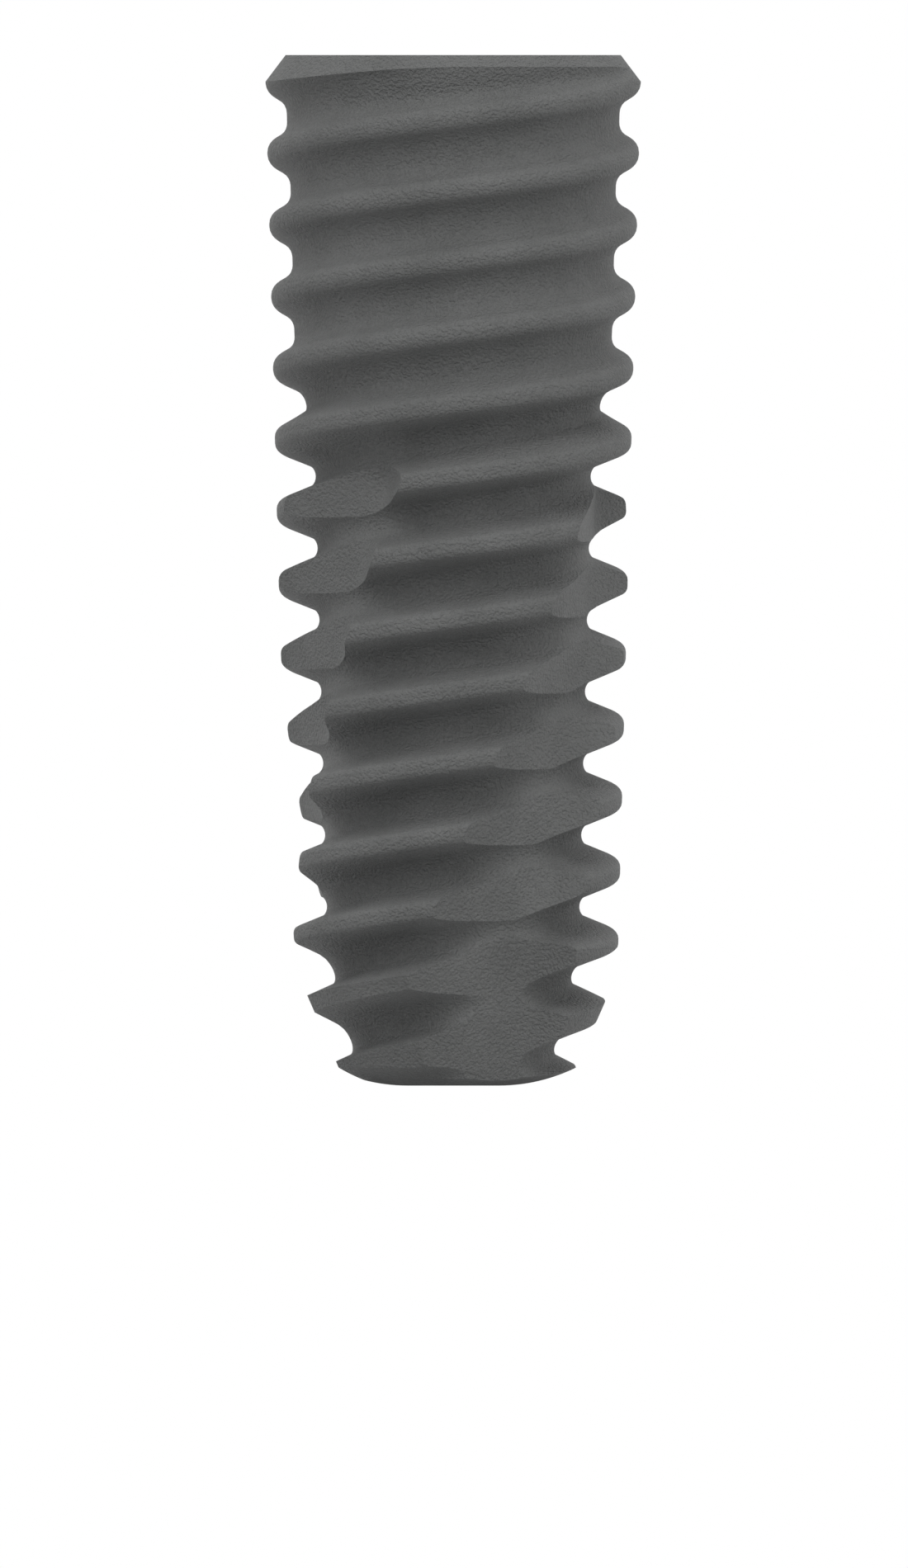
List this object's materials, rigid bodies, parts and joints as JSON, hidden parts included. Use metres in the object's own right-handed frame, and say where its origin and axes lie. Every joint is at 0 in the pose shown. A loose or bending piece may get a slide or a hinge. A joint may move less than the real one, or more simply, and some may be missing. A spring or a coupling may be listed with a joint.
{
  "type": "dental implant fixture",
  "caption": "Tapered self-tapping titanium screw that anchors an artificial tooth in the jaw, with deep rounded threads, cutting flutes, a bevelled platform and a hexagonal socket.",
  "frame": {"origin": "centre of the flat on the tip, at the foot of the implant's axis", "axes": "+Z along the axis, from the tip up to the platform and its socket; -Y is the side that the picture shows"},
  "size_m": [0.0042, 0.0042, 0.0115],
  "materials": {
    "blasted_titanium": "blasted and etched titanium, dull dark grey with a fine even grain"
  },
  "bodies": {
    "root": {"implant_fixture": "blasted_titanium"}
  },
  "joints": []
}
